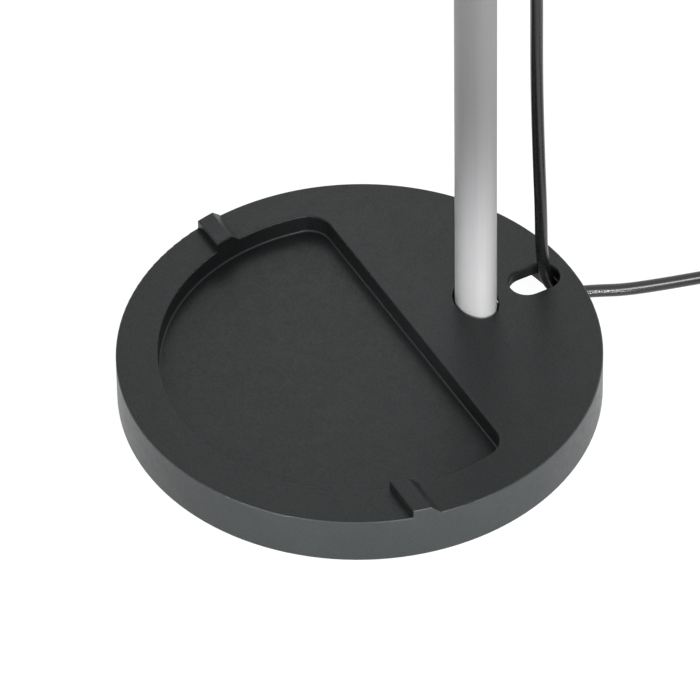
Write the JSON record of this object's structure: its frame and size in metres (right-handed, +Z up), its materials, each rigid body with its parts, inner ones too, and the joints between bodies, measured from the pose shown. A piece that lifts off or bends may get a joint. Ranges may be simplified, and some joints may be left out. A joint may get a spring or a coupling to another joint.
{
  "type": "desk lamp with pen tray base",
  "caption": "Desk lamp whose round weighted foot has a recessed pen and clip tray; an oval post carries a turning, tilting arm and a flat light head, with a mains lead behind.",
  "frame": {"origin": "middle of the foot's underside, on the table", "axes": "+Z up; +Y from the tray's straight edge towards the post, so the arm reaches towards -Y; +X follows from those two"},
  "size_m": [0.2944, 0.698, 0.446],
  "materials": {
    "shell_black": "fine satin texture, black",
    "zinc_steel": "bright zinc plate",
    "cast_weight": "dull black paint",
    "foam_pad": "matt black foam",
    "post_silver": "satin silver",
    "moulded_black": "satin black",
    "nylon": "natural nylon",
    "brass": "turned brass",
    "black_metal": "fine satin black",
    "light_board": "white solder mask",
    "light_chip": "yellow phosphor",
    "diffuser_white": "frosted white",
    "sheet_metal": "mill finish sheet",
    "circuit_green": "green solder mask",
    "component_grey": "dark component bodies",
    "button_grey": "satin grey",
    "lead_black": "smooth black sleeve",
    "plug_black": "satin black moulding",
    "pin_nickel": "nickel plate",
    "wire_sleeve": "black sleeve"
  },
  "bodies": {
    "base": {"base_shell": "shell_black", "base_plate": "zinc_steel", "counterweight": "cast_weight", "non_slip_pad": "foam_pad", "shell_screws": "zinc_steel", "counterweight_screws": "zinc_steel", "bolt_washer": "zinc_steel", "post_bolt": "zinc_steel", "post_tube": "post_silver", "post_foot_plug": "zinc_steel", "post_head": "moulded_black", "post_head_lid": "moulded_black", "lid_screws": "zinc_steel", "post_set_screw": "zinc_steel", "strain_relief": "plug_black", "terminal_block": "nylon", "swivel_spindle": "brass", "swivel_lower_washer": "nylon", "swivel_upper_washer": "nylon", "swivel_nut": "brass", "cord_lead": "lead_black", "cord_coil": "lead_black", "cord_tail": "lead_black", "plug_body": "plug_black", "plug_pins": "pin_nickel"},
    "turret": {"turret": "black_metal", "arm_hinge_bolt": "zinc_steel", "arm_hinge_nut": "zinc_steel", "arm_hinge_washers": "nylon", "arm_hinge_caps": "moulded_black"},
    "arm": {"arm_knuckle": "black_metal", "arm_tube": "post_silver", "arm_front_knuckle": "black_metal", "arm_pins": "zinc_steel", "arm_wire": "wire_sleeve"},
    "head": {"head_bracket": "black_metal", "head_hinge_bolt": "zinc_steel", "head_hinge_nut": "zinc_steel", "head_hinge_washers": "nylon", "head_hinge_caps": "moulded_black", "bracket_screws": "zinc_steel", "head_cover": "moulded_black", "heat_sink": "sheet_metal", "heat_sink_screws": "zinc_steel", "led_board": "light_board", "led_chips": "light_chip", "diffuser_frame": "moulded_black", "frame_screws": "zinc_steel", "diffuser": "diffuser_white", "driver_board": "circuit_green", "driver_parts": "component_grey", "tact_switch": "component_grey"},
    "button": {"power_button": "button_grey"}
  },
  "joints": [
    {"name": "arm_swivel", "type": "hinge", "parent": "base", "child": "turret", "pos_m": [-0.0024, 0.063, 0.415], "axis": [0, 0, 1], "range_deg": [-160, 160]},
    {"name": "arm_tilt", "type": "hinge", "parent": "turret", "child": "arm", "pos_m": [-0.0024, 0.063, 0.435], "axis": [-1, 0, 0], "range_deg": [-20, 75]},
    {"name": "head_tilt", "type": "hinge", "parent": "arm", "child": "head", "pos_m": [-0.0024, -0.229, 0.435], "axis": [-1, 0, 0], "range_deg": [-80, 60]},
    {"name": "button_press", "type": "slide", "parent": "head", "child": "button", "axis": [0, 0, -1], "range_m": [0, 0.0012], "stiffness_N_per_m": 800}
  ]
}
